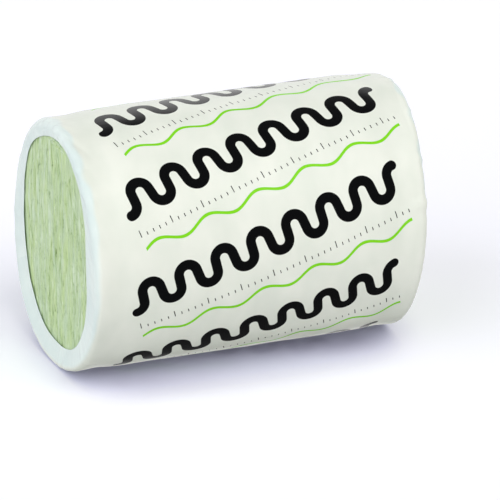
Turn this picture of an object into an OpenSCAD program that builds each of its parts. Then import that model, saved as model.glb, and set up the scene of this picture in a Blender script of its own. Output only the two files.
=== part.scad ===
// Insulation roll: a mineral-wool mat wound into a coil with a flat heart, held in a wrapped film.
// The film folds over both ends of the coil in a collar round an oval opening, where the turns show.
// The roll lies on its side along X, and the origin is on the floor under its middle.

/* [Roll] */
// Length of the wrapped roll over its film ends
roll_length = 1000; // [600:10:1250]
// Outside diameter of the wrapped roll
roll_d = 720; // [640:5:900]

/* [Film] */
// Thickness of the film where it is wrapped on itself
film_t = 0.5; // [0.4:0.1:2]
// Radius of the fold where the film turns over each end
shoulder_r = 20; // [8:1:34]
// Width of the film's collar on each end, at its sides
collar_side_w = 95; // [36:1:160]
// Width of that collar at its top
collar_top_w = 43; // [36:1:160]
// Width of that collar at its bottom
collar_bottom_w = 67; // [36:1:160]
// Width of the lap where the film is welded along the roll
lap_w = 45; // [20:1:120]
// Place of the lap round the roll, in degrees from the top towards the back
lap_angle = 118; // [60:1:150]

/* [Wool] */
// Gap between the film over each end and the wool behind it
end_gap = 4; // [1:0.5:15]
// Clearance between the wool and the film round it
wrap_gap = 0.2; // [0.1:0.1:1]
// Number of turns of the mat
turns = 5; // [3:0.25:7]
// Half height of the flat heart, where the mat is first folded on itself
heart_h = 245; // [60:5:265]
// Width of the gap between two turns at the ends
turn_gap = 4; // [2:0.5:8]
// Depth to which that gap is open
turn_gap_depth = 9; // [3:0.5:30]
// Part of a turn that the mat's outer end takes to thin out
tail_turns = 0.35; // [0.1:0.05:0.6]

/* [Hidden] */
$fn = 96;
roll_r = roll_d / 2;
film_inner_r = roll_r - film_t;
film_inner_length = roll_length - 2 * film_t;
opening_w = roll_d - 2 * collar_side_w;
opening_h = roll_d - collar_top_w - collar_bottom_w;
opening_rise = (collar_bottom_w - collar_top_w) / 2;
wool_r = film_inner_r - wrap_gap;
wool_length = film_inner_length - 2 * end_gap;
wool_shoulder_r = shoulder_r - film_t - wrap_gap;
cut_over = 1;
steps_per_turn = 40;
lap_sweep = 360 * lap_w / (PI * roll_d);
lap_length = roll_length - 3 * shoulder_r;

// Half section of a turned body, from its axis to radius r, with its two outer corners rounded
module half_section(r, length, corner_r) {
    translate([0, -length / 2]) square([r - corner_r, length]);
    translate([0, corner_r - length / 2]) square([r, length - 2 * corner_r]);
    for (side = [-1, 1])
        translate([r - corner_r, side * (length / 2 - corner_r)]) circle(corner_r);
}

// A turned body that lies along X
module turned(r, length, corner_r) {
    rotate([0, 90, 0]) rotate_extrude() intersection() {
        half_section(r, length, corner_r);
        translate([0, -length]) square([r + cut_over, 2 * length]);
    }
}

// The line between the turns. Turn 0 is the flat heart, and the last turn is the roll's own round outside.
function turn_width(turn) = wool_r * turn / turns;
function turn_height(turn) = heart_h + (wool_r - heart_h) * turn / turns;
function turn_point(turn) = [turn_width(turn) * cos(360 * turn), turn_height(turn) * sin(360 * turn)];
function turn_heading(turn) =
    let (ahead = turn_point(turn + 0.001) - turn_point(turn - 0.001)) ahead / norm(ahead);
function turn_side(turn, offset) =
    let (heading = turn_heading(turn)) turn_point(turn) + offset * [heading[1], -heading[0]];

// The gap between the turns, seen along the roll. It ends inside the outer face, where the mat thins out.
module turn_gap_outline() {
    last = turns - tail_turns;
    count = round(last * steps_per_turn);
    first = 0.02;
    places = [for (i = [0 : count]) first + (last - first) * i / count];
    polygon(concat(
        [for (place = places) turn_side(place, turn_gap / 2)],
        [for (i = [count : -1 : 0]) turn_side(places[i], -turn_gap / 2)]
    ));
}

module wool_roll() {
    color("#b4c79c") translate([0, 0, roll_r]) difference() {
        turned(wool_r, wool_length, wool_shoulder_r);
        for (start = [-wool_length / 2 - cut_over, wool_length / 2 - turn_gap_depth])
            translate([start, 0, 0]) rotate([90, 0, 90])
                linear_extrude(turn_gap_depth + cut_over) turn_gap_outline();
    }
}

// The strip where one edge of the film lies on the other
module film_lap() {
    rotate([0, 90, 0]) rotate([0, 0, 180 - lap_angle - lap_sweep / 2])
        rotate_extrude(angle = lap_sweep)
            translate([roll_r - film_t / 2, -lap_length / 2]) square([1.5 * film_t, lap_length]);
}

module film_wrap() {
    color("#eceee3") translate([0, 0, roll_r]) {
        difference() {
            turned(roll_r, roll_length, shoulder_r);
            turned(film_inner_r, film_inner_length, shoulder_r - film_t);
            translate([-roll_length / 2 - cut_over, 0, opening_rise]) rotate([90, 0, 90])
                linear_extrude(roll_length + 2 * cut_over) scale([opening_w, opening_h]) circle(d = 1);
        }
        film_lap();
    }
}

wool_roll();
film_wrap();
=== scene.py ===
import math

import bmesh
import bpy
import numpy as np
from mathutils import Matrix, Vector


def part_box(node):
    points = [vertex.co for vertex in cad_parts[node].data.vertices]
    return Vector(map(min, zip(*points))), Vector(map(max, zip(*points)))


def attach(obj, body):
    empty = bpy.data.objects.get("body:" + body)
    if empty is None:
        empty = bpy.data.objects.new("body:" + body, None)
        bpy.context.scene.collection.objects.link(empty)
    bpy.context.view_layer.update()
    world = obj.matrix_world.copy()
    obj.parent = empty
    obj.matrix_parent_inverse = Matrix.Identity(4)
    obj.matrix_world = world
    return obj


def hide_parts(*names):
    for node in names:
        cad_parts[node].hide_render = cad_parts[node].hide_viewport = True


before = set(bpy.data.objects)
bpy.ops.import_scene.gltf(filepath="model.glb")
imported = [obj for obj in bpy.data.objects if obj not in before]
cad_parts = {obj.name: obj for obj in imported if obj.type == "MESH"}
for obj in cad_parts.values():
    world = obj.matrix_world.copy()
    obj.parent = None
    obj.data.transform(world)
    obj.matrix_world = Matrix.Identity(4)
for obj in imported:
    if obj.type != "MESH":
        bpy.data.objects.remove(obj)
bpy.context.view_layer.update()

# The wool mat
# A mat of stone wool, bound with a little resin, wound into a roll round a flat heart and sawn at both ends.
# Its strata follow the turns. It is wound a little askew, so its right end leans out at the top and the back.
TURNS = 5
HEART_HALF_HEIGHT = 0.305
HEART_SQUARENESS = 0.8
SQUARE_WITHIN = 0.35
TURN_GAP_DEPTH = 0.005
TURN_GAP_WIDTH = 0.006
GAP_PATCHES_PER_M = 11.0
MEAN_TURN_LENGTH = 1.4
STRATA_LENGTH, STRATA_WIDTH, STRATA_RELIEF, STRATA_BEND = 0.060, 0.016, 0.0026, 0.7
SLIT_LENGTH, SLIT_WIDTH, SLIT_DEPTH = 0.032, 0.009, 0.004
WOOL_CORNER_R = 0.020
END_LEAN = 0.06
PLAIN_TONE = 0.42
POINTS_PER_TURN = 400
POINTS_ACROSS = 17
FACE_POINTS_ALONG = 3
MERGE_WITHIN = 0.00005

# The wool stays that far inside its solid, so that it never comes through the slack film.
FILM_ROOM = 0.014
END_INSET = 0.0015

# The two ends of the roll lie that far apart in each noise, so that they differ.
STREAKS_APART, STRATA_APART, SLITS_APART = 7.0, 3.0, 5.0
wool_lo, wool_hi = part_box("wool_roll")
wool_r = (wool_hi.z - wool_lo.z) / 2 - FILM_ROOM
wool_half_length = (wool_hi.x - wool_lo.x) / 2 - END_INSET
axis_z = (wool_hi.z + wool_lo.z) / 2


def add(tree, kind, inputs=(), **settings):
    """Adds a node with its settings, fills or links its inputs, and returns the first output in use."""
    node = tree.nodes.new(kind)
    for name, value in settings.items():
        setattr(node, name, value)
    pairs = inputs.items() if isinstance(inputs, dict) else enumerate(inputs)
    for key, value in pairs:
        if isinstance(value, bpy.types.NodeSocket):
            tree.links.new(value, node.inputs[key])
        elif value is not None:
            node.inputs[key].default_value = value
    return next((output for output in node.outputs if output.enabled), None)


def new_tree(name, sockets):
    """A Geometry Nodes tree with named inputs and one geometry output."""
    tree = bpy.data.node_groups.new(name, "GeometryNodeTree")
    for label, kind in sockets:
        tree.interface.new_socket(label, in_out="INPUT", socket_type=f"NodeSocket{kind}")
    tree.interface.new_socket("Geometry", in_out="OUTPUT", socket_type="NodeSocketGeometry")
    return tree


def run_tree(name, tree, values, start=None):
    """Runs a tree on a new object and returns that object with the result as its plain mesh."""
    piece = bpy.data.objects.new(name, start or bpy.data.meshes.new(name))
    bpy.context.scene.collection.objects.link(piece)
    modifier = piece.modifiers.new(name, "NODES")
    modifier.node_group = tree
    given_sockets = [item for item in tree.interface.items_tree if item.in_out == "INPUT"]
    identifiers = {item.name: item.identifier for item in given_sockets}
    for label, value in values.items():
        modifier[identifiers[label]] = value
    evaluated = piece.evaluated_get(bpy.context.evaluated_depsgraph_get())
    mesh = bpy.data.meshes.new_from_object(evaluated)
    piece.modifiers.remove(modifier)
    piece.data = mesh
    mesh.name = name
    return piece


def linear(hex_colour):
    """An sRGB hex colour as linear red, green, blue and alpha."""
    parts = [int(hex_colour[i:i + 2], 16) / 255 for i in (1, 3, 5)]
    return [c / 12.92 if c <= 0.04045 else ((c + 0.055) / 1.055) ** 2.4 for c in parts] + [1.0]


def new_material(name):
    """A material with its node tree and its shader node."""
    material = bpy.data.materials.new(name)
    material.use_nodes = True
    return material, material.node_tree, material.node_tree.nodes["Principled BSDF"]


# Stone wool, sawn: dull matted fibre that scatters light, in strata of yellow-green and grey-green
# with soft pale and dark streaks along each stratum, and painted shade in a few slits between the fibres.
# Noise lies mostly between 0.3 and 0.7, and each range that reads it picks the part that shows.
BROAD_STREAK = (0.130, 0.040)
MIDDLE_STREAK = (0.052, 0.015)
FINE_STREAK = (0.010, 0.004)
STREAK_BEND = 1.2
FIBRE_BUMP = 0.003
YELLOW_GREEN, GREY_GREEN = linear("#d3e9ae"), linear("#d0e5c0")
PALE_GREEN, DARK_GREEN = linear("#e9f9dc"), linear("#acc886")
SLIT_PAINTED_SHADE = linear("#7a9659")
stone_wool, tree, shader = new_material("sawn_stone_wool")
lay = add(tree, "ShaderNodeAttribute", attribute_name="lay").node.outputs["Vector"]
tone = add(tree, "ShaderNodeAttribute", attribute_name="tone").node.outputs["Fac"]
pit = add(tree, "ShaderNodeAttribute", attribute_name="pit").node.outputs["Fac"]


def streak_noise(size, detail):
    """Noise drawn out along the strata, in streaks of that length and width."""
    per_metre = (1 / size[0], 1 / size[1], STREAKS_APART)
    stretched = add(tree, "ShaderNodeVectorMath", [lay, per_metre], operation="MULTIPLY")
    return add(tree, "ShaderNodeTexNoise", {
        "Vector": stretched, "Scale": 1.0, "Detail": detail, "Distortion": STREAK_BEND})


broad = streak_noise(BROAD_STREAK, detail=2.0)
middle = streak_noise(MIDDLE_STREAK, detail=3.0)
fine = streak_noise(FINE_STREAK, detail=3.0)
broad_share = add(tree, "ShaderNodeMapRange", [broad, 0.36, 0.64, 0.0, 1.0])
base = add(tree, "ShaderNodeMix", {0: broad_share, 6: YELLOW_GREEN, 7: GREY_GREEN}, data_type="RGBA")
pale_share = add(tree, "ShaderNodeMapRange", [middle, 0.52, 0.70, 0.0, 0.95])
paler = add(tree, "ShaderNodeMix", {0: pale_share, 6: base, 7: PALE_GREEN}, data_type="RGBA")
dark_share = add(tree, "ShaderNodeMapRange", [middle, 0.46, 0.30, 0.0, 0.8])
darker = add(tree, "ShaderNodeMix", {0: dark_share, 6: paler, 7: DARK_GREEN}, data_type="RGBA")
fibre_share = add(tree, "ShaderNodeMath", [fine, tone], operation="ADD")
fibre_light = add(tree, "ShaderNodeMapRange", [fibre_share, 0.7, 1.3, 0.94, 1.06])
fibred = add(tree, "ShaderNodeVectorMath", {0: darker, "Scale": fibre_light}, operation="SCALE")
# Painted shade darkens each slit, which the geometry also sinks.
wool_colour = add(tree, "ShaderNodeMix", {0: pit, 6: fibred, 7: SLIT_PAINTED_SHADE}, data_type="RGBA")
wool_height = add(tree, "ShaderNodeMath", [fine, 0.6, middle], operation="MULTIPLY_ADD")
wool_bump = add(tree, "ShaderNodeBump", {"Height": wool_height, "Strength": 0.35, "Distance": FIBRE_BUMP})
tree.links.new(wool_colour, shader.inputs["Base Color"])
tree.links.new(wool_bump, shader.inputs["Normal"])
shader.inputs["Roughness"].default_value = 0.95
shader.inputs["Specular IOR Level"].default_value = 0.1

# One end of the wound mat: a grid along and across the mat is laid on the turns, and dips into the gaps.
MAT_INPUTS = [
    ("Radius", "Float"), ("Half length", "Float"), ("Axis height", "Float"), ("Turns", "Float"),
    ("Heart half height", "Float"), ("Squareness", "Float"), ("Gap depth", "Float"), ("Gap width", "Float"),
    ("Corner radius", "Float"), ("Relief", "Float"), ("Slit depth", "Float"), ("Points along", "Int"),
    ("Points across", "Int"),
]
end_tree = new_tree("wound_end", MAT_INPUTS + [("End", "Float")])
tree = end_tree
given = add(tree, "NodeGroupInput").node.outputs
grid = add(tree, "GeometryNodeMeshGrid", [1.0, 1.0, given["Points along"], given["Points across"]])
place = add(tree, "ShaderNodeSeparateXYZ", [add(tree, "GeometryNodeInputPosition")]).node.outputs
turn = add(tree, "ShaderNodeMapRange", [place["X"], -0.5, 0.5, -1.0, given["Turns"]])
across = add(tree, "ShaderNodeMath", [place["Y"], 0.5], operation="ADD")
inner = add(tree, "ShaderNodeMath", [turn, 0.0], operation="MAXIMUM")
next_turn = add(tree, "ShaderNodeMath", [turn, 1.0], operation="ADD")
outer = add(tree, "ShaderNodeMath", [next_turn, given["Turns"]], operation="MINIMUM")
count = add(tree, "ShaderNodeMapRange", [across, 0.0, 1.0, inner, outer])
share = add(tree, "ShaderNodeMath", [count, given["Turns"]], operation="DIVIDE")
half_width = add(tree, "ShaderNodeMath", [given["Radius"], share], operation="MULTIPLY")
half_height = add(tree, "ShaderNodeMapRange", [share, 0.0, 1.0, given["Heart half height"], given["Radius"]])
angle = add(tree, "ShaderNodeMath", [turn, 2 * math.pi], operation="MULTIPLY")
cosine = add(tree, "ShaderNodeMath", [angle], operation="COSINE")
sine = add(tree, "ShaderNodeMath", [angle], operation="SINE")

# Round the flat heart the turns are tall boxes with round corners, and they widen to the roll's own circle.
square_share = add(tree, "ShaderNodeMapRange", [share, SQUARE_WITHIN, 1.0, given["Squareness"], 0.0])
squared = []
for wave in (cosine, sine):
    wide = add(tree, "ShaderNodeMath", [wave, math.sqrt(2)], operation="MULTIPLY")
    boxed = add(tree, "ShaderNodeClamp", [wide, -1.0, 1.0])
    squared.append(add(tree, "ShaderNodeMix", [square_share, None, wave, boxed], data_type="FLOAT"))
y = add(tree, "ShaderNodeMath", [half_width, squared[0]], operation="MULTIPLY")
z = add(tree, "ShaderNodeMath", [half_height, squared[1]], operation="MULTIPLY")
section_point = add(tree, "ShaderNodeCombineXYZ", [0.0, y, z])

# The mat is as thick as its two turns are apart, and the gap is deepest where they meet.
height_growth = add(tree, "ShaderNodeMath", [given["Radius"], given["Heart half height"]],
                    operation="SUBTRACT")
growth_y = add(tree, "ShaderNodeMath", [given["Radius"], cosine], operation="MULTIPLY")
growth_z = add(tree, "ShaderNodeMath", [height_growth, sine], operation="MULTIPLY")
growth = add(tree, "ShaderNodeCombineXYZ", [0.0, growth_y, growth_z])
growth_length = add(tree, "ShaderNodeVectorMath", [growth], operation="LENGTH")
layers = add(tree, "ShaderNodeMath", [outer, inner], operation="SUBTRACT")
layer_share = add(tree, "ShaderNodeMath", [layers, given["Turns"]], operation="DIVIDE")
thickness = add(tree, "ShaderNodeMath", [growth_length, layer_share], operation="MULTIPLY")
from_edge = add(tree, "ShaderNodeMath", [across, 0.5], operation="PINGPONG")
edge = add(tree, "ShaderNodeMath", [from_edge, thickness], operation="MULTIPLY")
gap = add(tree, "ShaderNodeMapRange", [edge, 0.0, given["Gap width"], 1.0, 0.0],
          interpolation_type="SMOOTHSTEP")
gap_noise = add(tree, "ShaderNodeTexNoise", {
    "Vector": section_point, "Scale": GAP_PATCHES_PER_M, "Detail": 2.0})
gap_share = add(tree, "ShaderNodeMapRange", [gap_noise, 0.35, 0.65, 0.3, 1.0])
gap_depth = add(tree, "ShaderNodeMath", [gap_share, given["Gap depth"]], operation="MULTIPLY")
dip = add(tree, "ShaderNodeMath", [gap_depth, gap], operation="MULTIPLY")

# The strata stand a few millimetres above and below each other and run along the mat.
along_mat = add(tree, "ShaderNodeMath", [turn, MEAN_TURN_LENGTH], operation="MULTIPLY")
from_middle = add(tree, "ShaderNodeMath", [across, 0.5], operation="SUBTRACT")
across_mat = add(tree, "ShaderNodeMath", [from_middle, thickness], operation="MULTIPLY")
lay = add(tree, "ShaderNodeCombineXYZ", [along_mat, across_mat, given["End"]])
strata_per_metre = (1 / STRATA_LENGTH, 1 / STRATA_WIDTH, STRATA_APART)
strata_at = add(tree, "ShaderNodeVectorMath", [lay, strata_per_metre], operation="MULTIPLY")
strata = add(tree, "ShaderNodeTexNoise", {
    "Vector": strata_at, "Scale": 1.0, "Detail": 3.0, "Distortion": STRATA_BEND})
strata_rise = add(tree, "ShaderNodeMapRange", [strata, 0.25, 0.75, -0.5, 0.5])
away = add(tree, "ShaderNodeMath", [1.0, gap], operation="SUBTRACT")
relief = add(tree, "ShaderNodeMath", [given["Relief"], away], operation="MULTIPLY")
rise = add(tree, "ShaderNodeMath", [strata_rise, relief], operation="MULTIPLY")

# Here and there the fibres part in a short slit.
slits_per_metre = (1 / SLIT_LENGTH, 1 / SLIT_WIDTH, SLITS_APART)
slit_at = add(tree, "ShaderNodeVectorMath", [lay, slits_per_metre], operation="MULTIPLY")
slit_noise = add(tree, "ShaderNodeTexNoise", {"Vector": slit_at, "Scale": 1.0, "Detail": 1.0})
slit = add(tree, "ShaderNodeMapRange", [slit_noise, 0.685, 0.755, 0.0, 1.0])
slit_depth = add(tree, "ShaderNodeMath", [slit, given["Slit depth"]], operation="MULTIPLY")

# The outer corner of the roll is rounded, where the film presses it in.
radius_here = add(tree, "ShaderNodeVectorMath", [section_point], operation="LENGTH")
flat_radius = add(tree, "ShaderNodeMath", [given["Radius"], given["Corner radius"]], operation="SUBTRACT")
past_flat = add(tree, "ShaderNodeMath", [radius_here, flat_radius], operation="SUBTRACT")
over = add(tree, "ShaderNodeMath", [past_flat, 0.0], operation="MAXIMUM")
over_share = add(tree, "ShaderNodeMath", [over, given["Corner radius"]], operation="DIVIDE")
over_angle = add(tree, "ShaderNodeMath", [over_share], operation="ARCSINE")
over_cosine = add(tree, "ShaderNodeMath", [over_angle], operation="COSINE")
drop_share = add(tree, "ShaderNodeMath", [1.0, over_cosine], operation="SUBTRACT")
drop = add(tree, "ShaderNodeMath", [drop_share, given["Corner radius"]], operation="MULTIPLY")
reach = add(tree, "ShaderNodeMath", [given["Half length"], drop], operation="SUBTRACT")
sunk = add(tree, "ShaderNodeMath", [reach, dip], operation="SUBTRACT")
raised = add(tree, "ShaderNodeMath", [sunk, rise], operation="ADD")
pitted = add(tree, "ShaderNodeMath", [raised, slit_depth], operation="SUBTRACT")
x = add(tree, "ShaderNodeMath", [pitted, given["End"]], operation="MULTIPLY")
lifted = add(tree, "ShaderNodeMath", [z, given["Axis height"]], operation="ADD")
end_point = add(tree, "ShaderNodeCombineXYZ", [x, y, lifted])

# The wool's shader reads where a point lies in the mat and in a slit, where it paints shade,
# and the fibres read which way it runs.
run_y = add(tree, "ShaderNodeMath", [half_width, sine], operation="MULTIPLY")
run_z = add(tree, "ShaderNodeMath", [half_height, cosine], operation="MULTIPLY")
back_y = add(tree, "ShaderNodeMath", [run_y, -1.0], operation="MULTIPLY")
run_way = add(tree, "ShaderNodeCombineXYZ", [0.0, back_y, run_z])
run = add(tree, "ShaderNodeVectorMath", [run_way], operation="NORMALIZE")
noted = grid
for name, value, kind in (("lay", lay, "FLOAT_VECTOR"), ("run", run, "FLOAT_VECTOR"), ("pit", slit, "FLOAT")):
    noted = add(tree, "GeometryNodeStoreNamedAttribute", {"Geometry": noted, "Name": name, "Value": value},
                data_type=kind, domain="POINT")
placed = add(tree, "GeometryNodeSetPosition", {"Geometry": noted, "Position": end_point})
add(tree, "NodeGroupOutput", [placed])

# The whole roll: two wound ends and the outer face of the last turn between them.
roll_tree = new_tree("wound_mat", MAT_INPUTS + [
    ("Points per turn", "Int"), ("Lean", "Float"), ("Tone", "Float"), ("Material", "Material")])
tree = roll_tree
given = add(tree, "NodeGroupInput").node.outputs
ends = []
for end_sign in (-1.0, 1.0):
    wound_end = add(tree, "GeometryNodeGroup", node_tree=end_tree)
    for label, kind in MAT_INPUTS:
        tree.links.new(given[label], wound_end.node.inputs[label])
    wound_end.node.inputs["End"].default_value = end_sign
    ends.append(wound_end)
left_faces = add(tree, "GeometryNodeFlipFaces", {"Mesh": ends[0]})
around = add(tree, "ShaderNodeMath", [given["Points per turn"], 1.0], operation="ADD")
face_grid = add(tree, "GeometryNodeMeshGrid", [1.0, 1.0, around, FACE_POINTS_ALONG])
place = add(tree, "ShaderNodeSeparateXYZ", [add(tree, "GeometryNodeInputPosition")]).node.outputs
angle = add(tree, "ShaderNodeMapRange", [place["X"], -0.5, 0.5, 0.0, 2 * math.pi])
cosine = add(tree, "ShaderNodeMath", [angle], operation="COSINE")
sine = add(tree, "ShaderNodeMath", [angle], operation="SINE")
flat_half = add(tree, "ShaderNodeMath", [given["Half length"], given["Corner radius"]], operation="SUBTRACT")
flat_length = add(tree, "ShaderNodeMath", [flat_half, 2.0], operation="MULTIPLY")
face_x = add(tree, "ShaderNodeMath", [place["Y"], flat_length], operation="MULTIPLY")
face_y = add(tree, "ShaderNodeMath", [given["Radius"], cosine], operation="MULTIPLY")
face_z = add(tree, "ShaderNodeMath", [given["Radius"], sine, given["Axis height"]], operation="MULTIPLY_ADD")
face_point = add(tree, "ShaderNodeCombineXYZ", [face_x, face_y, face_z])
outer_face = add(tree, "GeometryNodeSetPosition", {"Geometry": face_grid, "Position": face_point})
whole = add(tree, "GeometryNodeJoinGeometry", [left_faces])
tree.links.new(ends[1], whole.node.inputs[0])
tree.links.new(outer_face, whole.node.inputs[0])
toned = add(tree, "GeometryNodeStoreNamedAttribute", {
    "Geometry": whole, "Name": "tone", "Value": given["Tone"]}, data_type="FLOAT", domain="POINT")
merged = add(tree, "GeometryNodeMergeByDistance", {"Geometry": toned, "Distance": MERGE_WITHIN})

# From the middle to the right end the roll leans more and more.
place = add(tree, "ShaderNodeSeparateXYZ", [add(tree, "GeometryNodeInputPosition")]).node.outputs
lean_share = add(tree, "ShaderNodeMapRange", [place["X"], 0.0, given["Half length"], 0.0, given["Lean"]],
                 interpolation_type="SMOOTHSTEP")
above_axis = add(tree, "ShaderNodeMath", [place["Z"], given["Axis height"]], operation="SUBTRACT")
back_and_up = add(tree, "ShaderNodeMath", [place["Y"], above_axis], operation="ADD")
lean = add(tree, "ShaderNodeMath", [back_and_up, lean_share], operation="MULTIPLY")
lean_way = add(tree, "ShaderNodeCombineXYZ", [lean, 0.0, 0.0])
leaned = add(tree, "GeometryNodeSetPosition", {"Geometry": merged, "Offset": lean_way})
smooth = add(tree, "GeometryNodeSetShadeSmooth", {"Geometry": leaned})
realized = add(tree, "GeometryNodeRealizeInstances", [smooth])
finished = add(tree, "GeometryNodeSetMaterial", {"Geometry": realized, "Material": given["Material"]})
add(tree, "NodeGroupOutput", [finished])

wool = run_tree("wool_mat", roll_tree, {
    "Radius": wool_r,
    "Half length": wool_half_length,
    "Axis height": axis_z,
    "Turns": float(TURNS),
    "Heart half height": HEART_HALF_HEIGHT,
    "Squareness": HEART_SQUARENESS,
    "Gap depth": TURN_GAP_DEPTH,
    "Gap width": TURN_GAP_WIDTH,
    "Corner radius": WOOL_CORNER_R,
    "Relief": STRATA_RELIEF,
    "Slit depth": SLIT_DEPTH,
    "Points along": POINTS_PER_TURN * (TURNS + 1) + 1,
    "Points across": POINTS_ACROSS,
    "Points per turn": POINTS_PER_TURN,
    "Lean": END_LEAN,
    "Tone": PLAIN_TONE,
    "Material": stone_wool,
})
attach(wool, "root")
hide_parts("wool_roll")

# The loose fibres
# Bundles of stone fibre that the saw pulled up from both ends, because single fibres are too fine to show.
# They lie along the strata, held by the resin at one end and free at the other.
FIBRES_PER_M2 = 8000.0
FIBRE_LENGTH, FIBRE_LENGTH_SHARES = 0.024, (0.4, 1.5)
FIBRE_WIDTH, FIBRE_WIDTH_SHARES = 0.0015, (0.5, 1.4)
FIBRE_TONES = (0.1, 0.9)
FIBRE_TIP_SHARE = 0.16
FIBRE_STRAY = 0.6
FIBRE_BEND = 1.3
FIBRED_HALF_W = 0.250
FIBRED_HALF_H = 0.280
fibre_tree = new_tree("loose_fibres", [
    ("Geometry", "Geometry"), ("End", "Float"), ("Axis height", "Float"), ("Half width", "Float"),
    ("Half height", "Float"), ("Density", "Float"), ("Length", "Float"), ("Width", "Float"), ("Seed", "Int"),
    ("Material", "Material"),
])
tree = fibre_tree
given = add(tree, "NodeGroupInput").node.outputs
place = add(tree, "ShaderNodeSeparateXYZ", [add(tree, "GeometryNodeInputPosition")]).node.outputs
facing = add(tree, "ShaderNodeSeparateXYZ", [add(tree, "GeometryNodeInputNormal")]).node.outputs
outward = add(tree, "ShaderNodeMath", [facing["X"], given["End"]], operation="MULTIPLY")
on_end = add(tree, "ShaderNodeMath", [outward, 0.5], operation="GREATER_THAN")
off_y = add(tree, "ShaderNodeMath", [place["Y"], given["Half width"]], operation="DIVIDE")
above_axis = add(tree, "ShaderNodeMath", [place["Z"], given["Axis height"]], operation="SUBTRACT")
off_z = add(tree, "ShaderNodeMath", [above_axis, given["Half height"]], operation="DIVIDE")
off_middle = add(tree, "ShaderNodeCombineXYZ", [off_y, off_z, 0.0])
middle_share = add(tree, "ShaderNodeVectorMath", [off_middle], operation="LENGTH")
in_opening = add(tree, "ShaderNodeMath", [middle_share, 1.0], operation="LESS_THAN")
chosen = add(tree, "ShaderNodeMath", [on_end, in_opening], operation="MULTIPLY")
roots = add(tree, "GeometryNodeDistributePointsOnFaces", {
    "Mesh": given["Geometry"], "Selection": chosen, "Density": given["Density"], "Seed": given["Seed"]})

# One strand: a thin cone, a unit long and a unit wide at its root, bent up towards its tip.
strand = add(tree, "GeometryNodeMeshCone", {
    "Vertices": 3, "Side Segments": 3, "Radius Top": FIBRE_TIP_SHARE / 2, "Radius Bottom": 0.5, "Depth": 1.0})
strand_at = add(tree, "ShaderNodeSeparateXYZ", [add(tree, "GeometryNodeInputPosition")]).node.outputs
lift = add(tree, "ShaderNodeMath", [strand_at["Z"], 2.0], operation="POWER")
strand_lift = add(tree, "ShaderNodeMath", [lift, FIBRE_BEND], operation="MULTIPLY")
lift_way = add(tree, "ShaderNodeCombineXYZ", [strand_lift, 0.0, 0.0])
bent = add(tree, "GeometryNodeSetPosition", {"Geometry": strand, "Offset": lift_way})

# Each strand lies either way along the strata, strays a little, and has its own length, width and tone.
run = add(tree, "GeometryNodeInputNamedAttribute", {"Name": "run"}, data_type="FLOAT_VECTOR")
either_way = add(tree, "FunctionNodeRandomValue", {"Probability": 0.5, "Seed": 1}, data_type="BOOLEAN")
way = add(tree, "ShaderNodeMapRange", [either_way, 0.0, 1.0, -1.0, 1.0])
headed = add(tree, "ShaderNodeVectorMath", {0: run, "Scale": way}, operation="SCALE")
least_stray = (0.0, -FIBRE_STRAY, -FIBRE_STRAY)
most_stray = (0.0, FIBRE_STRAY, FIBRE_STRAY)
stray = add(tree, "FunctionNodeRandomValue", {0: least_stray, 1: most_stray, "Seed": 2},
            data_type="FLOAT_VECTOR")
strayed = add(tree, "ShaderNodeVectorMath", [headed, stray], operation="ADD")
out_way = add(tree, "ShaderNodeCombineXYZ", [given["End"], 0.0, 0.0])
laid = add(tree, "FunctionNodeAxesToRotation", {"Primary Axis": strayed, "Secondary Axis": out_way},
           primary_axis="Z", secondary_axis="X")
chances = []
for seed, (least, most) in enumerate((FIBRE_LENGTH_SHARES, FIBRE_WIDTH_SHARES, FIBRE_TONES), start=3):
    chances.append(add(tree, "FunctionNodeRandomValue", {2: least, 3: most, "Seed": seed}, data_type="FLOAT"))
length = add(tree, "ShaderNodeMath", [given["Length"], chances[0]], operation="MULTIPLY")
width = add(tree, "ShaderNodeMath", [given["Width"], chances[1]], operation="MULTIPLY")
strand_size = add(tree, "ShaderNodeCombineXYZ", [width, width, length])
strands = add(tree, "GeometryNodeInstanceOnPoints", {
    "Points": roots, "Instance": bent, "Rotation": laid, "Scale": strand_size})
toned = add(tree, "GeometryNodeStoreNamedAttribute", {
    "Geometry": strands, "Name": "tone", "Value": chances[2]}, data_type="FLOAT", domain="INSTANCE")
realized = add(tree, "GeometryNodeRealizeInstances", [toned])
smooth = add(tree, "GeometryNodeSetShadeSmooth", {"Geometry": realized})
finished = add(tree, "GeometryNodeSetMaterial", {"Geometry": smooth, "Material": given["Material"]})
add(tree, "NodeGroupOutput", [finished])
for end_name, end_sign, end_seed in (("left", -1.0, 11), ("right", 1.0, 12)):
    fibres = run_tree(f"wool_fibres_{end_name}", fibre_tree, {
        "End": end_sign,
        "Axis height": axis_z,
        "Half width": FIBRED_HALF_W,
        "Half height": FIBRED_HALF_H,
        "Density": FIBRES_PER_M2,
        "Length": FIBRE_LENGTH,
        "Width": FIBRE_WIDTH,
        "Seed": end_seed,
        "Material": stone_wool,
    }, start=wool.data.copy())
    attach(fibres, "root")

# The film wrap
# White low-density polyethylene film, wrapped once round the roll, welded along a lap at the back
# and drawn over both ends, where it gathers into a collar round an oval opening.
film_lo, film_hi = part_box("film_wrap")
roll_half = (film_hi.x - film_lo.x) / 2
roll_r = (film_hi.z - film_lo.z) / 2
FILM_T = 0.0005
FLOOR_CLEAR = 0.0002
FILM_COLUMNS = 340
COLLAR_ROWS, FOLD_ROWS, NEAR_ROWS, MIDDLE_ROWS = 17, 14, 16, 23
COLLAR_ROW_POWER = 0.8
NEAR_W = 0.080
FOLD_R = 0.020
FOLD_SLACK, FOLD_SLACK_ANGLE = 0.024, math.radians(80)
FOLD_PULL, FOLD_PULL_ANGLE = 0.010, math.radians(139)
OPENING_HALF_W = 0.262
OPENING_HALF_H = 0.309
OPENING_RISE = 0.0175
OPENING_FORWARD = 0.006
OPENING_SQUARENESS = 2.35
LIP_WITHIN = 1e-6
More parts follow.
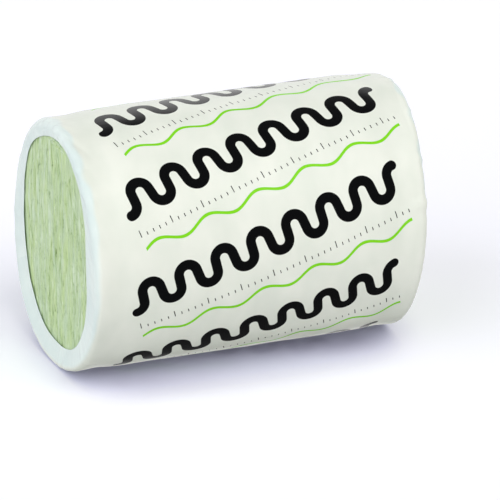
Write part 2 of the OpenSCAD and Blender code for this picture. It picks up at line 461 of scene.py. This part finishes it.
LIP_DROOP, LIP_DROOP_ANGLE, LIP_DROOP_SPREAD = 0.0225, math.radians(21), math.radians(24)
LIP_CURL, LIP_W = 0.0012, 0.009
LAP_W = 0.045
LAP_ANGLE = math.radians(118)
LAP_TAPER_W = 0.030

# The rows run along the film from one lip to the other, and the columns round the roll from edge to edge.
# Angles are measured from the top of the roll towards its back.
columns = np.linspace(0.0, 2 * math.pi * roll_r + LAP_W, FILM_COLUMNS)
end_theta = LAP_ANGLE + 2 * math.pi * columns / columns[-1]


def lobe(angle, middle, power):
    """A soft hump round the roll: 1 at its middle and 0 on the other side."""
    return ((1 + np.cos(angle - middle)) / 2) ** power


# The film turns over the ends in a fold that is slack at the back and pulled tight below that.
fold_slack = FOLD_SLACK * lobe(end_theta, FOLD_SLACK_ANGLE, power=3)
fold_pull = FOLD_PULL * lobe(end_theta, FOLD_PULL_ANGLE, power=3)
fold_r = FOLD_R + fold_slack - fold_pull
flat_r = roll_r - fold_r
fold_length = fold_r * math.pi / 2
body_half = roll_half - fold_r

# The opening is an oval with full corners, and its lip droops at the top towards the back.
# Each column of the film ends where it meets that oval.
lip_r = np.zeros(FILM_COLUMNS)
step = roll_r / 2
while step > LIP_WITHIN:
    tried = lip_r + step
    off_y = np.abs(tried * np.sin(end_theta) + OPENING_FORWARD) / OPENING_HALF_W
    off_z = np.abs(tried * np.cos(end_theta) - OPENING_RISE) / OPENING_HALF_H
    lip_r = np.where(off_y ** OPENING_SQUARENESS + off_z ** OPENING_SQUARENESS < 1, tried, lip_r)
    step = step / 2
from_droop = (end_theta - LIP_DROOP_ANGLE + math.pi) % (2 * math.pi) - math.pi
lip_r = lip_r - LIP_DROOP * np.exp(-(from_droop / LIP_DROOP_SPREAD) ** 2)
collar_w = flat_r - lip_r


def rows(count, endpoint=False):
    """Shares from 0 to 1, one for each row."""
    return np.linspace(0.0, 1.0, count, endpoint=endpoint)[:, None]


# Each row is a distance from the middle of the film, with its place and outward way in the roll's section.
half_s = np.concatenate([
    rows(MIDDLE_ROWS) * (body_half - NEAR_W),
    body_half - NEAR_W + rows(NEAR_ROWS) * NEAR_W,
    body_half + rows(FOLD_ROWS) * fold_length,
    body_half + fold_length + rows(COLLAR_ROWS, True) ** COLLAR_ROW_POWER * collar_w,
])
past_fold = half_s - body_half
fold_angle = np.clip(past_fold / fold_r, 0.0, math.pi / 2)
past_flat = np.maximum(past_fold - fold_length, 0.0)
from_lip = collar_w + fold_length - past_fold
out_x, out_r = np.sin(fold_angle), np.cos(fold_angle)
lip_curl = LIP_CURL * np.clip(1 - from_lip / LIP_W, 0.0, 1.0) ** 2
half_x = np.minimum(half_s, body_half) + fold_r * out_x - lip_curl
half_r = flat_r + fold_r * out_r - past_flat

# The lap narrows to a plain weld before the film turns over the end.
taper = np.clip(past_fold / LAP_TAPER_W + 1, 0.0, 1.0)
lap_shift = (1 - taper) * LAP_W / 2
lap_taken_in = taper * LAP_W * columns / columns[-1]
theta = LAP_ANGLE + (columns[None, :] - lap_shift) / roll_r - lap_taken_in / roll_r
sin_t, cos_t = np.sin(theta), np.cos(theta)

# The film is uneven: slack and small ripples everywhere, gathers over the edges and creases at the left top.
SLACK_DEPTH, SLACK_LENGTH = 0.0010, 0.42
RIPPLE_DEPTH, RIPPLE_LENGTH = 0.0004, 0.14
SWELL_WAVES, SWELL_SHARES = 9, (0.7, 1.5)
GATHERS, GATHER_JITTER = 16, 0.4
GATHER_DEPTH, TOP_GATHER_DEPTH, GATHER_SHARES = 0.0008, 0.0028, (0.3, 1.0)
GATHER_TOP_ANGLE, GATHER_TOP_COSINE = -0.6, 0.75
GATHER_HALF_ANGLES = (0.03, 0.07)
GATHER_SLANT = 0.8
GATHER_REACH, GATHER_RAMP, GATHER_FADE = 0.040, 0.030, 0.020
CREASES, CREASE_DEPTH, CREASE_ANGLE = 5, 0.0016, math.radians(-15)
CREASES_APART = (0.030, 0.065)
CREASE_REACH, CREASE_FADE = 0.040, 0.015
film_rng = np.random.default_rng(5)
crease_rng = np.random.default_rng(9)


def swell(x, depth, wavelength, count):
    """A soft unevenness of that depth, as a sum of waves that close round the roll."""
    total = np.zeros_like(x)
    for _ in range(count):
        heading = film_rng.uniform(0, math.pi)
        wave = 2 * math.pi / (wavelength * film_rng.uniform(*SWELL_SHARES))
        around = round(wave * math.sin(heading) * roll_r)
        total += np.cos(wave * math.cos(heading) * x + around * theta + film_rng.uniform(0, 2 * math.pi))
    return depth * total / math.sqrt(count)


def gathers():
    """Soft folds over the edge of the roll, where the film is drawn in. They fade towards the lip."""
    total = np.zeros_like(theta)
    spacing = 2 * math.pi / GATHERS
    for i in range(GATHERS):
        middle = (i + film_rng.uniform(-GATHER_JITTER, GATHER_JITTER)) * spacing
        half_angle = film_rng.uniform(*GATHER_HALF_ANGLES)
        at_top = math.cos(middle - GATHER_TOP_ANGLE) > GATHER_TOP_COSINE
        depth = film_rng.uniform(*GATHER_SHARES) * (TOP_GATHER_DEPTH if at_top else GATHER_DEPTH)
        start = film_rng.uniform(-GATHER_REACH, 0.0)
        turned = theta - middle - film_rng.uniform(-GATHER_SLANT, GATHER_SLANT) * past_fold
        offset = (turned + math.pi) % (2 * math.pi) - math.pi
        ridge = (1 - 2 * (offset / half_angle) ** 2) * np.exp(-(offset / half_angle) ** 2)
        total += depth * ridge * np.clip((past_fold - start) / GATHER_RAMP, 0.0, 1.0)
    return total * np.clip(from_lip / GATHER_FADE, 0.0, 1.0)


def crumple():
    """Flat facets between sharp creases, where the film bunches at the top of the fold."""
    total = np.zeros_like(theta)
    for _ in range(CREASES):
        heading = crease_rng.uniform(0, math.pi)
        wave = math.pi / crease_rng.uniform(*CREASES_APART)
        across = math.cos(heading) * half_s + math.sin(heading) * columns
        total += np.abs(np.sin(wave * across + crease_rng.uniform(0, math.pi))) - 2 / math.pi
    begun = np.clip((past_fold + CREASE_REACH) / CREASE_REACH, 0.0, 1.0)
    window = begun * np.clip(from_lip / CREASE_FADE, 0.0, 1.0)
    return CREASE_DEPTH * total * window * lobe(theta, CREASE_ANGLE, power=4)


# The film sinks in a little on each collar and in a waist before each fold, and its shoulders drop.
# At the left end it sags at the lower back and hangs out in a bag below.
LAP_LIFT, LAP_RAMP_FROM, LAP_RAMP_W = 0.00056, 0.015, 0.012
COLLAR_SAG, COLLAR_SAG_W = 0.0012, 0.06
WAIST_DEPTH, WAIST_AT, WAIST_W = 0.003, 0.055, 0.035
LEFT_DROP, LEFT_DROP_REACH = 0.007, 0.350
RIGHT_DROP, RIGHT_DROP_REACH = 0.009, 0.120
DROP_ANGLE = math.radians(25)
DROP_FADE = 0.050
SAG = 0.007
BAG, BAG_ANGLE, BAG_REACH, BAG_FADE = 0.013, math.radians(156), 0.080, 0.060


def film_half(side):
    """Points of one half of the film, from its middle to the lip at that side."""
    lift = swell(side * half_x, SLACK_DEPTH, SLACK_LENGTH, SWELL_WAVES)
    lift = lift + swell(side * half_x, RIPPLE_DEPTH, RIPPLE_LENGTH, SWELL_WAVES) + gathers()
    if side < 0:
        lift = lift + crumple()
    over_lap = np.clip((columns - (columns[-1] - LAP_W - LAP_RAMP_FROM)) / LAP_RAMP_W, 0.0, 1.0)
    lift = lift + LAP_LIFT * over_lap * (1 - taper)
    lift = lift - COLLAR_SAG * np.sin(np.clip(past_flat / COLLAR_SAG_W, 0, 1) * math.pi)
    lift = lift - WAIST_DEPTH * np.exp(-((past_fold + WAIST_AT) / WAIST_W) ** 2)
    drop, drop_reach = (LEFT_DROP, LEFT_DROP_REACH) if side < 0 else (RIGHT_DROP, RIGHT_DROP_REACH)
    near_end = np.clip(1 + past_fold / drop_reach, 0.0, 1.0) * np.clip(from_lip / DROP_FADE, 0.0, 1.0)
    out = half_x + out_x * lift
    r = half_r + out_r * lift - drop * near_end ** 2 * lobe(theta, DROP_ANGLE, power=1)
    if side < 0:
        r = r + SAG * near_end ** 2 * np.where((sin_t > 0) & (cos_t < 0), (2 * sin_t * cos_t) ** 2, 0.0)
        bagged = np.clip(1 + past_fold / BAG_REACH, 0.0, 1.0) * np.clip(from_lip / BAG_FADE, 0.0, 1.0)
        out = out + BAG * lobe(theta, BAG_ANGLE, power=4) * bagged ** 2 * (3 - 2 * bagged)
    x = side * out
    y = r * sin_t
    z = np.maximum(axis_z + r * cos_t, FLOOR_CLEAR)
    reach = np.clip(x / roll_half, 0.0, 1.0)
    x = x + END_LEAN * reach ** 2 * (3 - 2 * reach) * (y + z - axis_z)
    return np.stack([x, y, z], axis=2), side * half_s


left_points, left_s = film_half(-1)
right_points, right_s = film_half(1)
join = 0.5 * (left_points[0] + right_points[0])
film_points = np.concatenate([left_points[:0:-1], join[None], right_points[1:]])
film_s = np.concatenate([left_s[:0:-1], right_s])
film_rows = len(film_points)
index = np.arange(film_rows * FILM_COLUMNS).reshape(film_rows, FILM_COLUMNS)
corners = [index[:-1, :-1], index[1:, :-1], index[1:, 1:], index[:-1, 1:]]
quads = np.stack(corners, axis=2).reshape(-1, 4)
film_mesh = bpy.data.meshes.new("film")
film_mesh.from_pydata(film_points.reshape(-1, 3).tolist(), [], quads.tolist())
film_uv = film_mesh.uv_layers.new(name="print")
film_at = np.stack([film_s, np.repeat(columns[None, :], film_rows, axis=0)], axis=2).reshape(-1, 2)
film_uv.data.foreach_set("uv", film_at[quads.reshape(-1)].reshape(-1))
film_mesh.polygons.foreach_set("use_smooth", np.ones(len(quads), dtype=bool))

# The attribute is the distance past the ragged line where the film leaves the wool and looks cool.
TINT_DRIFT = 0.014
TINT_RAGGED, TINT_RAGGED_LENGTH, TINT_WAVES = 0.006, 0.09, 7
WELD_WITHIN = 0.00001
ragged = swell(half_x, TINT_RAGGED, TINT_RAGGED_LENGTH, TINT_WAVES) * lobe(theta, CREASE_ANGLE, power=2)
cool_from = past_fold + TINT_DRIFT * np.cos(theta) + ragged
film_cool = film_mesh.attributes.new("cool_from", "FLOAT", "POINT")
film_cool.data.foreach_set("value", np.concatenate([cool_from[:0:-1], cool_from - TINT_DRIFT]).reshape(-1))
welded = bmesh.new()
welded.from_mesh(film_mesh)
bmesh.ops.remove_doubles(welded, verts=welded.verts, dist=WELD_WITHIN)
welded.to_mesh(film_mesh)
welded.free()

# White polyethylene film, blown and printed: satin, with fine stretch lines along the roll.
# The print is generic: bold loops in slanted rows, a thin wave and a scale of ticks.
PRINT_SLANT = math.radians(17)
PRINT_REPEATS = 8
PRINT_START = -0.375
PRINT_LENGTH = 0.84
INK_SOFT = 0.0005
INK_BLACK, INK_GREEN = linear("#08090b"), linear("#86e01e")
row_pitch = 2 * math.pi * roll_r / PRINT_REPEATS * math.cos(PRINT_SLANT)
film_white, tree, shader = new_material("printed_polyethylene_film")
film_uv_at = add(tree, "ShaderNodeUVMap", uv_map="print")
film_parts = add(tree, "ShaderNodeSeparateXYZ", [film_uv_at]).node.outputs
slanted = add(tree, "ShaderNodeMapping", {"Vector": film_uv_at, "Rotation": (0.0, 0.0, -PRINT_SLANT)})
slanted_parts = add(tree, "ShaderNodeSeparateXYZ", [slanted]).node.outputs
row_count = add(tree, "ShaderNodeMath", [slanted_parts["Y"], 1 / row_pitch], operation="MULTIPLY")
row_share = add(tree, "ShaderNodeMath", [row_count], operation="FRACT")
row_y = add(tree, "ShaderNodeMapRange", [row_share, 0.0, 1.0, -row_pitch / 2, row_pitch / 2])
row_start = add(tree, "ShaderNodeMath", [film_parts["X"], PRINT_START], operation="SUBTRACT")
row_lean = add(tree, "ShaderNodeMath", [row_y, math.sin(PRINT_SLANT)], operation="MULTIPLY")
row_sum = add(tree, "ShaderNodeMath", [row_start, row_lean], operation="ADD")
row_x = add(tree, "ShaderNodeMath", [row_sum, 1 / math.cos(PRINT_SLANT)], operation="MULTIPLY")

# The loop is one arc and one straight, folded along the row and about the middle of the straight.
LOOP_PERIOD = 0.112
LOOP_R = 0.027
LOOP_HALF_H = 0.0125
LOOP_STROKE = 0.029
LOOPS_AT = 0.055
loop_reach = math.hypot(LOOP_PERIOD / 4, LOOP_HALF_H)
touch_angle = math.atan2(LOOP_HALF_H, LOOP_PERIOD / 4) - math.acos(LOOP_R / loop_reach)
touch = (LOOP_R * math.cos(touch_angle), LOOP_R * math.sin(touch_angle), 0.0)
straight = (-math.sin(touch_angle), math.cos(touch_angle), 0.0)
straight_side = (math.cos(touch_angle), math.sin(touch_angle), 0.0)
loop_y = add(tree, "ShaderNodeMath", [row_y, LOOPS_AT], operation="SUBTRACT")
fold_x = add(tree, "ShaderNodeMath", [row_x, LOOP_PERIOD / 2], operation="PINGPONG")
other_x = add(tree, "ShaderNodeMath", [LOOP_PERIOD / 2, fold_x], operation="SUBTRACT")
upper = add(tree, "ShaderNodeMath", [loop_y, 0.0], operation="GREATER_THAN")
arc_x = add(tree, "ShaderNodeMix", [upper, None, fold_x, other_x], data_type="FLOAT")
depth_y = add(tree, "ShaderNodeMath", [loop_y], operation="ABSOLUTE")
arc_y = add(tree, "ShaderNodeMath", [LOOP_HALF_H, depth_y], operation="SUBTRACT")
arc_at = add(tree, "ShaderNodeCombineXYZ", [arc_x, arc_y, 0.0])
arc_length = add(tree, "ShaderNodeVectorMath", [arc_at], operation="LENGTH")
off_arc = add(tree, "ShaderNodeMath", [arc_length, LOOP_R], operation="SUBTRACT")
from_touch = add(tree, "ShaderNodeVectorMath", [arc_at, touch], operation="SUBTRACT")
past_touch = add(tree, "ShaderNodeVectorMath", [from_touch, straight], operation="DOT_PRODUCT")
off_straight = add(tree, "ShaderNodeVectorMath", [from_touch, straight_side], operation="DOT_PRODUCT")
on_straight = add(tree, "ShaderNodeMath", [past_touch, 0.0], operation="GREATER_THAN")
off_loop = add(tree, "ShaderNodeMix", [on_straight, None, off_arc, off_straight], data_type="FLOAT")
loop_distance = add(tree, "ShaderNodeMath", [off_loop], operation="ABSOLUTE")
stroke_edge = (LOOP_STROKE / 2 + INK_SOFT, LOOP_STROKE / 2 - INK_SOFT)
loop_ink = add(tree, "ShaderNodeMapRange", [loop_distance, *stroke_edge, 0.0, 1.0])

# A row of loops starts in a trough and stops on a crest, and both of its ends are round.
first_end = (0.0, -LOOP_HALF_H - LOOP_R, 0.0)
last_end = (PRINT_LENGTH, LOOP_HALF_H + LOOP_R, 0.0)
loop_at = add(tree, "ShaderNodeCombineXYZ", [row_x, loop_y, 0.0])
from_first = add(tree, "ShaderNodeVectorMath", [loop_at, first_end], operation="DISTANCE")
from_last = add(tree, "ShaderNodeVectorMath", [loop_at, last_end], operation="DISTANCE")
from_loop_end = add(tree, "ShaderNodeMath", [from_first, from_last], operation="MINIMUM")
loop_end_ink = add(tree, "ShaderNodeMapRange", [from_loop_end, *stroke_edge, 0.0, 1.0])

# Ticks every 20 mm and longer ones every 100 mm.
TICKS_APART, LONG_TICKS_APART = 0.020, 0.100
TICK_H, LONG_TICK_H = 0.010, 0.021
TICK_W = 0.0026
TICKS_AT = -0.050
LONG_TICK_WITHIN = 0.002
tick_y = add(tree, "ShaderNodeMath", [row_y, TICKS_AT], operation="SUBTRACT")
tick_x = add(tree, "ShaderNodeMath", [row_x, TICKS_APART / 2], operation="PINGPONG")
long_x = add(tree, "ShaderNodeMath", [row_x, LONG_TICKS_APART / 2], operation="PINGPONG")
is_long = add(tree, "ShaderNodeMath", [long_x, LONG_TICK_WITHIN], operation="LESS_THAN")
tick_height = add(tree, "ShaderNodeMapRange", [is_long, 0.0, 1.0, TICK_H, LONG_TICK_H])
in_width = add(tree, "ShaderNodeMath", [tick_x, TICK_W / 2], operation="LESS_THAN")
above_base = add(tree, "ShaderNodeMath", [tick_y, 0.0], operation="GREATER_THAN")
below_top = add(tree, "ShaderNodeMath", [tick_y, tick_height], operation="LESS_THAN")
tick_band = add(tree, "ShaderNodeMath", [above_base, below_top], operation="MULTIPLY")
tick_ink = add(tree, "ShaderNodeMath", [tick_band, in_width], operation="MULTIPLY")
black_ink = add(tree, "ShaderNodeMath", [loop_ink, tick_ink], operation="MAXIMUM")

# A thin wave between the rows of loops.
WAVE_LENGTH, WAVE_RISE, WAVE_AT = 0.160, 0.013, -0.085
WAVE_EDGE = (0.0050, 0.0042)
wave_angle = add(tree, "ShaderNodeMath", [row_x, 2 * math.pi / WAVE_LENGTH], operation="MULTIPLY")
wave_sine = add(tree, "ShaderNodeMath", [wave_angle], operation="SINE")
wave_y = add(tree, "ShaderNodeMath", [wave_sine, WAVE_RISE, WAVE_AT], operation="MULTIPLY_ADD")
off_wave = add(tree, "ShaderNodeMath", [row_y, wave_y], operation="SUBTRACT")
wave_distance = add(tree, "ShaderNodeMath", [off_wave], operation="ABSOLUTE")
wave_ink = add(tree, "ShaderNodeMapRange", [wave_distance, *WAVE_EDGE, 0.0, 1.0])
past_start = add(tree, "ShaderNodeMath", [row_x, -TICK_W / 2], operation="GREATER_THAN")
before_end = add(tree, "ShaderNodeMath", [row_x, PRINT_LENGTH + TICK_W / 2], operation="LESS_THAN")
printed = add(tree, "ShaderNodeMath", [past_start, before_end], operation="MULTIPLY")
black_row = add(tree, "ShaderNodeMath", [black_ink, printed], operation="MULTIPLY")
black_share = add(tree, "ShaderNodeMath", [black_row, loop_end_ink], operation="MAXIMUM")
green_share = add(tree, "ShaderNodeMath", [wave_ink, printed], operation="MULTIPLY")

# The film is cloudy, and over the ends it is tinted cooler than on the body.
CLOUD_ALONG, CLOUD_ROUND = 0.090, 0.160
COOL_FROM, COOL_TO = 0.002, 0.018
BODY_DULL, BODY_WHITE = linear("#edf2e6"), linear("#f6f9ee")
END_DULL, END_WHITE = linear("#e2f0ed"), linear("#effaf5")
clouds_per_metre = (1 / CLOUD_ALONG, 1 / CLOUD_ROUND, 0.0)
cloud_at = add(tree, "ShaderNodeVectorMath", [film_uv_at, clouds_per_metre], operation="MULTIPLY")
cloud_noise = add(tree, "ShaderNodeTexNoise", {"Vector": cloud_at, "Scale": 1.0, "Detail": 2.0})
cloud = add(tree, "ShaderNodeMapRange", [cloud_noise, 0.32, 0.68, 0.0, 1.0])
body_colour = add(tree, "ShaderNodeMix", {0: cloud, 6: BODY_DULL, 7: BODY_WHITE}, data_type="RGBA")
end_colour = add(tree, "ShaderNodeMix", {0: cloud, 6: END_DULL, 7: END_WHITE}, data_type="RGBA")
cool_at = add(tree, "ShaderNodeAttribute", attribute_name="cool_from").node.outputs["Fac"]
on_end = add(tree, "ShaderNodeMapRange", [cool_at, COOL_FROM, COOL_TO, 0.0, 1.0],
             interpolation_type="SMOOTHSTEP")
plain_film = add(tree, "ShaderNodeMix", {0: on_end, 6: body_colour, 7: end_colour}, data_type="RGBA")

# Two weld lines run along the lap and stop where the film turns over the end.
WELD_APART = 0.022
WELD_W = 0.003
WELD_SHARE = 0.6
WELD_GREY = linear("#ccd3c8")
lap_middle = float(columns[-1]) - LAP_W / 2
lap_y = add(tree, "ShaderNodeMath", [film_parts["Y"], lap_middle], operation="SUBTRACT")
from_lap = add(tree, "ShaderNodeMath", [lap_y], operation="ABSOLUTE")
from_weld = add(tree, "ShaderNodeMath", [from_lap, WELD_APART / 2], operation="SUBTRACT")
weld_distance = add(tree, "ShaderNodeMath", [from_weld], operation="ABSOLUTE")
weld_line = add(tree, "ShaderNodeMapRange", [weld_distance, WELD_W / 2, WELD_W / 2 - INK_SOFT, 0.0, 1.0])
off_end = add(tree, "ShaderNodeMath", [1.0, on_end], operation="SUBTRACT")
weld = add(tree, "ShaderNodeMath", [weld_line, off_end], operation="MULTIPLY")
weld_share = add(tree, "ShaderNodeMath", [weld, WELD_SHARE], operation="MULTIPLY")
film_colour = add(tree, "ShaderNodeMix", {0: weld_share, 6: plain_film, 7: WELD_GREY}, data_type="RGBA")
green_film = add(tree, "ShaderNodeMix", {0: green_share, 6: film_colour, 7: INK_GREEN}, data_type="RGBA")
inked_film = add(tree, "ShaderNodeMix", {0: black_share, 6: green_film, 7: INK_BLACK}, data_type="RGBA")

# Fine stretch lines run along the roll, and close wrinkles cross its edges.
LINE_LENGTH, LINE_WIDTH, LINE_SHARE = 0.200, 0.012, 0.4
WRINKLE_LENGTH, WRINKLE_WIDTH = 0.060, 0.014
WRINKLE_FROM, WRINKLE_TO = -0.060, 0.010
FILM_BUMP = 0.0012
lines_per_metre = (1 / LINE_LENGTH, 1 / LINE_WIDTH, 0.0)
line_at = add(tree, "ShaderNodeVectorMath", [film_uv_at, lines_per_metre], operation="MULTIPLY")
lines = add(tree, "ShaderNodeTexNoise", {"Vector": line_at, "Scale": 1.0, "Detail": 2.0})
wrinkles_per_metre = (1 / WRINKLE_LENGTH, 1 / WRINKLE_WIDTH, 0.0)
wrinkle_at = add(tree, "ShaderNodeVectorMath", [film_uv_at, wrinkles_per_metre], operation="MULTIPLY")
wrinkles = add(tree, "ShaderNodeTexNoise", {"Vector": wrinkle_at, "Scale": 1.0, "Detail": 2.0})
at_edge = add(tree, "ShaderNodeMapRange", [cool_at, WRINKLE_FROM, WRINKLE_TO, 0.25, 1.5])
edge_wrinkles = add(tree, "ShaderNodeMath", [wrinkles, at_edge], operation="MULTIPLY")
uneven = add(tree, "ShaderNodeMath", [lines, LINE_SHARE, edge_wrinkles], operation="MULTIPLY_ADD")
film_height = add(tree, "ShaderNodeMath", [uneven, weld], operation="SUBTRACT")
film_bump = add(tree, "ShaderNodeBump", {"Height": film_height, "Strength": 0.35, "Distance": FILM_BUMP})
tree.links.new(inked_film, shader.inputs["Base Color"])
tree.links.new(film_bump, shader.inputs["Normal"])
shader.inputs["Roughness"].default_value = 0.24
shader.inputs["IOR"].default_value = 1.51
shader.inputs["Specular IOR Level"].default_value = 0.35

film = bpy.data.objects.new("film_wrap_sheet", film_mesh)
bpy.context.scene.collection.objects.link(film)
film_mesh.materials.append(film_white)
thicken = film.modifiers.new("thickness", "SOLIDIFY")
thicken.thickness = FILM_T
thicken.offset = -1.0
film.data = bpy.data.meshes.new_from_object(film.evaluated_get(bpy.context.evaluated_depsgraph_get()))
film.modifiers.remove(thicken)
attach(film, "root")
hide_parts("film_wrap")

# The stage
# A plain white floor with a cool painted shadow under the roll, lit by two soft suns and an even sky.
# A long lens looks at the roll from the photograph's side.
FLOOR_HALF = 20.0
SHADE_REACH = 0.22
SHADE_FROM, SHADE_TO = 0.2, 0.75
SHADE_GLOW, OPEN_GLOW = 0.12, 0.19
FLOOR_PAINTED_SHADOW, FLOOR_WHITE = linear("#cecde8"), linear("#f8f8ff")
floor_signs = [(-1, -1), (1, -1), (1, 1), (-1, 1)]
floor_corners = [(side_x * FLOOR_HALF, side_y * FLOOR_HALF, 0) for side_x, side_y in floor_signs]
floor_mesh = bpy.data.meshes.new("floor")
floor_mesh.from_pydata(floor_corners, [], [(0, 1, 2, 3)])
floor = bpy.data.objects.new("floor", floor_mesh)
floor.visible_glossy = False
bpy.context.scene.collection.objects.link(floor)

# White paper: dull, and even except for a cool painted shadow near the roll.
# The camera sees it with a little glow of its own, which keeps it near white and dims in the painted shadow.
floor_paper, tree, shader = new_material("white_paper")
shader.inputs["Base Color"].default_value = linear("#e6e6e8")
shader.inputs["Roughness"].default_value = 0.9
shader.inputs["Specular IOR Level"].default_value = 0.0
path = add(tree, "ShaderNodeLightPath").node.outputs
glossy = add(tree, "ShaderNodeMath", [path["Is Glossy Ray"], path["Is Transmission Ray"]], operation="ADD")
seen = add(tree, "ShaderNodeMath", [path["Is Camera Ray"], glossy], operation="ADD")
# Ambient occlusion paints the floor's shadow, which is cooler and darker where the roll is near.
open_share = add(tree, "ShaderNodeAmbientOcclusion", {"Distance": SHADE_REACH}, samples=12).node.outputs["AO"]
open_floor = add(tree, "ShaderNodeMapRange", [open_share, SHADE_FROM, SHADE_TO, 0.0, 1.0])
paper_and_painted_shadow = add(tree, "ShaderNodeMix", {0: open_floor, 6: FLOOR_PAINTED_SHADOW, 7: FLOOR_WHITE}, data_type="RGBA")
paper = add(tree, "ShaderNodeBsdfDiffuse", {"Color": paper_and_painted_shadow})
glow_level = add(tree, "ShaderNodeMapRange", [open_share, SHADE_FROM, SHADE_TO, SHADE_GLOW, OPEN_GLOW])
glow = add(tree, "ShaderNodeEmission", {"Color": paper_and_painted_shadow, "Strength": glow_level})
lit = add(tree, "ShaderNodeAddShader", [paper, glow])
shown = add(tree, "ShaderNodeMixShader", [seen, shader.outputs[0], lit])
tree.links.new(shown, tree.nodes["Material Output"].inputs["Surface"])
floor_mesh.materials.append(floor_paper)

SKY_LEVEL = 0.47
world = bpy.data.worlds.new("studio")
bpy.context.scene.world = world
world.use_nodes = True
tree = world.node_tree
sky = tree.nodes["Background"]
sky.inputs["Color"].default_value = linear("#f4f6fa")
sky.inputs["Strength"].default_value = SKY_LEVEL
path = add(tree, "ShaderNodeLightPath").node.outputs
glossy = add(tree, "ShaderNodeMath", [path["Is Glossy Ray"], path["Is Transmission Ray"]], operation="ADD")

# Glossy film mirrors the white wall and floor behind the roll, and a dim room and a shadow elsewhere.
# In each pair the wall fades in, by how far a direction of length 1 points back or up.
WALL_SIDE = (0.0, 0.3)
WALL_TOP = (0.62, 0.54)
WALL_FOOT = (-0.75, -0.55)
ROOM_LEVEL, WALL_LEVEL = 0.08, 1.0
sky_way = add(tree, "ShaderNodeTexCoord").node.outputs["Generated"]
heading = add(tree, "ShaderNodeSeparateXYZ", [sky_way]).node.outputs
behind = add(tree, "ShaderNodeMapRange", [heading["Y"], *WALL_SIDE, 0.0, 1.0])
below_top = add(tree, "ShaderNodeMapRange", [heading["Z"], *WALL_TOP, 0.0, 1.0])
past_shadow = add(tree, "ShaderNodeMapRange", [heading["Z"], *WALL_FOOT, 0.0, 1.0])
wall_height = add(tree, "ShaderNodeMath", [past_shadow, below_top], operation="MULTIPLY")
on_wall = add(tree, "ShaderNodeMath", [behind, wall_height], operation="MULTIPLY")
wall_level = add(tree, "ShaderNodeMapRange", [on_wall, 0.0, 1.0, ROOM_LEVEL, WALL_LEVEL])
wall = add(tree, "ShaderNodeBackground", {"Color": linear("#ffffff"), "Strength": wall_level})
white = add(tree, "ShaderNodeBackground", {"Color": linear("#ffffff"), "Strength": 1.0})
mirrored = add(tree, "ShaderNodeMixShader", [glossy, sky.outputs[0], wall])
shown = add(tree, "ShaderNodeMixShader", [path["Is Camera Ray"], mirrored, white])
tree.links.new(shown, tree.nodes["World Output"].inputs["Surface"])


def from_floor(azimuth, elevation):
    """The direction that stands at that azimuth from the front and that elevation, both in degrees."""
    turned, raised = math.radians(azimuth), math.radians(elevation)
    level = math.cos(raised)
    return Vector((math.sin(turned) * level, -math.cos(turned) * level, math.sin(raised)))


def soft_sun(name, azimuth, elevation, level, spread, colour):
    """A sun as wide as a soft box, spread in degrees. Level 1 lights a facing white to white."""
    sun_data = bpy.data.lights.new(name, "SUN")
    sun_data.energy = level * math.pi
    sun_data.angle = math.radians(spread)
    sun_data.color = linear(colour)[:3]
    sun = bpy.data.objects.new(name, sun_data)
    sun.rotation_euler = (-from_floor(azimuth, elevation)).to_track_quat("-Z", "Y").to_euler()
    sun.visible_glossy = False
    bpy.context.scene.collection.objects.link(sun)


soft_sun("key_sun", azimuth=12.0, elevation=52.0, level=0.37, spread=40.0, colour="#fffbf4")
soft_sun("fill_sun", azimuth=-68.0, elevation=32.0, level=0.34, spread=60.0, colour="#f8fbff")

CAMERA_AZIMUTH = -20.60
CAMERA_ELEVATION = 22.35
CAMERA_DISTANCE = 20.0
CAMERA_LENS = 512.8
CAMERA_REACH = 100.0
AIM_RIGHT = 0.0787
AIM_DOWN = 0.0846
roll_centre = Vector((0, 0, axis_z))
to_camera = from_floor(CAMERA_AZIMUTH, CAMERA_ELEVATION)
picture_right = Vector((math.cos(math.radians(CAMERA_AZIMUTH)), math.sin(math.radians(CAMERA_AZIMUTH)), 0))
picture_up = to_camera.cross(picture_right)
camera_data = bpy.data.cameras.new("camera")
camera_data.lens = CAMERA_LENS
camera_data.clip_end = CAMERA_REACH
camera = bpy.data.objects.new("camera", camera_data)
camera.location = roll_centre + to_camera * CAMERA_DISTANCE
aim = roll_centre + picture_right * AIM_RIGHT - picture_up * AIM_DOWN
camera.rotation_euler = (aim - camera.location).to_track_quat("-Z", "Y").to_euler()
bpy.context.scene.collection.objects.link(camera)
bpy.context.scene.camera = camera
bpy.context.scene.view_settings.view_transform = "Standard"
